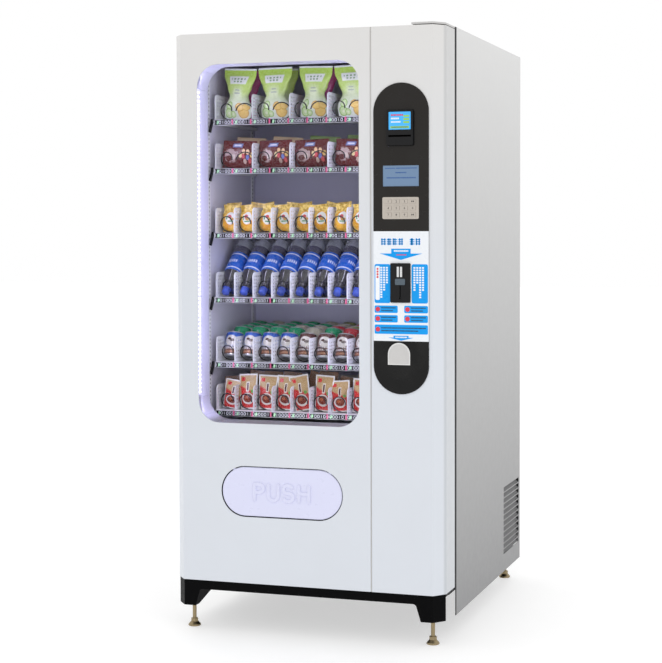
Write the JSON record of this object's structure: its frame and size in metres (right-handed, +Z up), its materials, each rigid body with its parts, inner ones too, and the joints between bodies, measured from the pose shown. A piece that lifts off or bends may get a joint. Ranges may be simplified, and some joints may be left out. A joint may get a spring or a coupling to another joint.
{
  "type": "snack vending machine",
  "caption": "Glass-front snack vending machine with a hinged door, spiral product trays, keypad and coin panel, delivery flap and levelling feet.",
  "frame": {"origin": "centre of the machine's footprint on the floor", "axes": "+Z up, the front faces -Y, +X is to the right of a person facing the machine"},
  "size_m": [0.91, 1.13, 1.945],
  "materials": {
    "white_enamel": "satin powder coat",
    "side_enamel": "satin powder coat",
    "black_enamel": "semi-gloss powder coat",
    "liner_foam": "smooth white skin over insulating foam",
    "liner_plastic": "smooth white",
    "clear_glass": "clear toughened",
    "seal_rubber": "matte",
    "led_cover": "lit cool white",
    "black_gloss": "gloss",
    "printed_label": "printed blue on white",
    "pad_steel": "brushed",
    "lcd": "gloss screen",
    "black_plastic": "fine grain",
    "flap_plastic": "moulded, satin",
    "bin_enamel": "satin",
    "satin_steel": "satin",
    "yellow_zinc": "yellow zinc plate",
    "tray_enamel": "white powder coat",
    "spiral_wire": "dark plated wire",
    "motor_plastic": "moulded",
    "fin_aluminium": "bare fins",
    "compressor_enamel": "gloss black",
    "supply_box": "grey powder coat"
  },
  "bodies": {
    "cabinet": {"left_side_panel": "side_enamel", "right_side_panel": "side_enamel", "top_panel": "side_enamel", "back_panel": "side_enamel", "cabinet_frame": "black_enamel", "food_liner": "liner_foam", "duct_panel": "liner_plastic", "evaporator": "fin_aluminium", "condenser": "fin_aluminium", "compressor": "compressor_enamel", "power_supply": "supply_box", "base_frame": "black_enamel", "levelling_feet": "yellow_zinc", "hinge_brackets": "satin_steel", "product_trays": "tray_enamel", "lane_dividers": "tray_enamel", "tray_latches": "black_plastic", "tray_rails": "tray_enamel", "spiral_motors": "motor_plastic", "fixed_spirals": "spiral_wire"},
    "door": {"door_skin": "white_enamel", "control_skin": "white_enamel", "door_inner_panel": "liner_plastic", "window_glass": "clear_glass", "led_strips": "led_cover", "door_gasket": "seal_rubber", "delivery_bin": "bin_enamel", "control_fascia": "black_gloss", "instruction_panel": "printed_label", "bill_validator": "black_plastic", "display": "lcd", "keypad_plate": "pad_steel", "coin_plate": "black_plastic", "coin_mech": "motor_plastic", "coin_cup": "satin_steel"},
    "delivery_flap": {"delivery_flap": "flap_plastic"},
    "coin_return_flap": {"coin_return_flap": "satin_steel"},
    "coin_return_lever": {"coin_return_lever": "satin_steel"},
    "door_lock": {"door_lock": "satin_steel"},
    "fan_blades": {"fan_blades": "motor_plastic"},
    "key_1_1": {"key_1_1": "pad_steel"},
    "key_1_2": {"key_1_2": "pad_steel"},
    "key_1_3": {"key_1_3": "pad_steel"},
    "key_1_4": {"key_1_4": "pad_steel"},
    "key_2_1": {"key_2_1": "pad_steel"},
    "key_2_2": {"key_2_2": "pad_steel"},
    "key_2_3": {"key_2_3": "pad_steel"},
    "key_2_4": {"key_2_4": "pad_steel"},
    "key_3_1": {"key_3_1": "pad_steel"},
    "key_3_2": {"key_3_2": "pad_steel"},
    "key_3_3": {"key_3_3": "pad_steel"},
    "key_3_4": {"key_3_4": "pad_steel"},
    "spiral_1a": {"spiral_1a": "spiral_wire"},
    "spiral_1b": {"spiral_1b": "spiral_wire"},
    "spiral_2a": {"spiral_2a": "spiral_wire"},
    "spiral_2b": {"spiral_2b": "spiral_wire"},
    "spiral_3": {"spiral_3": "spiral_wire"},
    "spiral_4": {"spiral_4": "spiral_wire"},
    "spiral_5": {"spiral_5": "spiral_wire"},
    "spiral_6": {"spiral_6": "spiral_wire"}
  },
  "joints": [
    {"name": "door_hinge", "type": "hinge", "parent": "cabinet", "child": "door", "pos_m": [0.443, -0.493, 0.9], "axis": [0, 0, 1], "range_deg": [0, 115]},
    {"name": "delivery_flap_hinge", "type": "hinge", "parent": "door", "child": "delivery_flap", "pos_m": [-0.0805, -0.5475, 0.533], "axis": [1, 0, 0], "range_deg": [0, 65]},
    {"name": "coin_return_flap_hinge", "type": "hinge", "parent": "door", "child": "coin_return_flap", "pos_m": [0.3137, -0.55, 0.9446], "axis": [1, 0, 0], "range_deg": [0, 65]},
    {"name": "coin_return_lever_slide", "type": "slide", "parent": "door", "child": "coin_return_lever", "axis": [0, 0, -1], "range_m": [0, 0.025], "stiffness_N_per_m": 60, "springref_m": -0.01},
    {"name": "door_lock_turn", "type": "hinge", "parent": "door", "child": "door_lock", "pos_m": [-0.455, -0.461, 1.1], "axis": [1, 0, 0], "range_deg": [0, 90]},
    {"name": "condenser_fan_spin", "type": "hinge", "parent": "cabinet", "child": "fan_blades", "pos_m": [0.15, 0.352, 0.35], "axis": [0, 1, 0], "continuous": true},
    {"name": "key_1_1_press", "type": "slide", "parent": "door", "child": "key_1_1", "axis": [0, 1, 0], "range_m": [0, 0.0015], "stiffness_N_per_m": 400, "springref_m": -0.001},
    {"name": "key_1_2_press", "type": "slide", "parent": "door", "child": "key_1_2", "axis": [0, 1, 0], "range_m": [0, 0.0015], "stiffness_N_per_m": 400, "springref_m": -0.001},
    {"name": "key_1_3_press", "type": "slide", "parent": "door", "child": "key_1_3", "axis": [0, 1, 0], "range_m": [0, 0.0015], "stiffness_N_per_m": 400, "springref_m": -0.001},
    {"name": "key_1_4_press", "type": "slide", "parent": "door", "child": "key_1_4", "axis": [0, 1, 0], "range_m": [0, 0.0015], "stiffness_N_per_m": 400, "springref_m": -0.001},
    {"name": "key_2_1_press", "type": "slide", "parent": "door", "child": "key_2_1", "axis": [0, 1, 0], "range_m": [0, 0.0015], "stiffness_N_per_m": 400, "springref_m": -0.001},
    {"name": "key_2_2_press", "type": "slide", "parent": "door", "child": "key_2_2", "axis": [0, 1, 0], "range_m": [0, 0.0015], "stiffness_N_per_m": 400, "springref_m": -0.001},
    {"name": "key_2_3_press", "type": "slide", "parent": "door", "child": "key_2_3", "axis": [0, 1, 0], "range_m": [0, 0.0015], "stiffness_N_per_m": 400, "springref_m": -0.001},
    {"name": "key_2_4_press", "type": "slide", "parent": "door", "child": "key_2_4", "axis": [0, 1, 0], "range_m": [0, 0.0015], "stiffness_N_per_m": 400, "springref_m": -0.001},
    {"name": "key_3_1_press", "type": "slide", "parent": "door", "child": "key_3_1", "axis": [0, 1, 0], "range_m": [0, 0.0015], "stiffness_N_per_m": 400, "springref_m": -0.001},
    {"name": "key_3_2_press", "type": "slide", "parent": "door", "child": "key_3_2", "axis": [0, 1, 0], "range_m": [0, 0.0015], "stiffness_N_per_m": 400, "springref_m": -0.001},
    {"name": "key_3_3_press", "type": "slide", "parent": "door", "child": "key_3_3", "axis": [0, 1, 0], "range_m": [0, 0.0015], "stiffness_N_per_m": 400, "springref_m": -0.001},
    {"name": "key_3_4_press", "type": "slide", "parent": "door", "child": "key_3_4", "axis": [0, 1, 0], "range_m": [0, 0.0015], "stiffness_N_per_m": 400, "springref_m": -0.001},
    {"name": "spiral_1a_turn", "type": "hinge", "parent": "cabinet", "child": "spiral_1a", "pos_m": [0.03825, -0.253, 1.7035], "axis": [0, 1, 0], "continuous": true},
    {"name": "spiral_1b_turn", "type": "hinge", "parent": "cabinet", "child": "spiral_1b", "pos_m": [0.10475, -0.253, 1.7035], "axis": [0, 1, 0], "continuous": true},
    {"name": "spiral_2a_turn", "type": "hinge", "parent": "cabinet", "child": "spiral_2a", "pos_m": [0.03825, -0.253, 1.5405], "axis": [0, 1, 0], "continuous": true},
    {"name": "spiral_2b_turn", "type": "hinge", "parent": "cabinet", "child": "spiral_2b", "pos_m": [0.10475, -0.253, 1.5405], "axis": [0, 1, 0], "continuous": true},
    {"name": "spiral_3_turn", "type": "hinge", "parent": "cabinet", "child": "spiral_3", "pos_m": [0.10475, -0.253, 1.3245], "axis": [0, 1, 0], "continuous": true},
    {"name": "spiral_4_turn", "type": "hinge", "parent": "cabinet", "child": "spiral_4", "pos_m": [0.10475, -0.253, 1.1075], "axis": [0, 1, 0], "continuous": true},
    {"name": "spiral_5_turn", "type": "hinge", "parent": "cabinet", "child": "spiral_5", "pos_m": [0.10475, -0.253, 0.8895], "axis": [0, 1, 0], "continuous": true},
    {"name": "spiral_6_turn", "type": "hinge", "parent": "cabinet", "child": "spiral_6", "pos_m": [0.10475, -0.253, 0.7265], "axis": [0, 1, 0], "continuous": true}
  ],
  "couplings": [
    {"joint": "spiral_1b_turn", "follows": "spiral_1a_turn", "ratio": -1},
    {"joint": "spiral_2b_turn", "follows": "spiral_2a_turn", "ratio": -1}
  ]
}
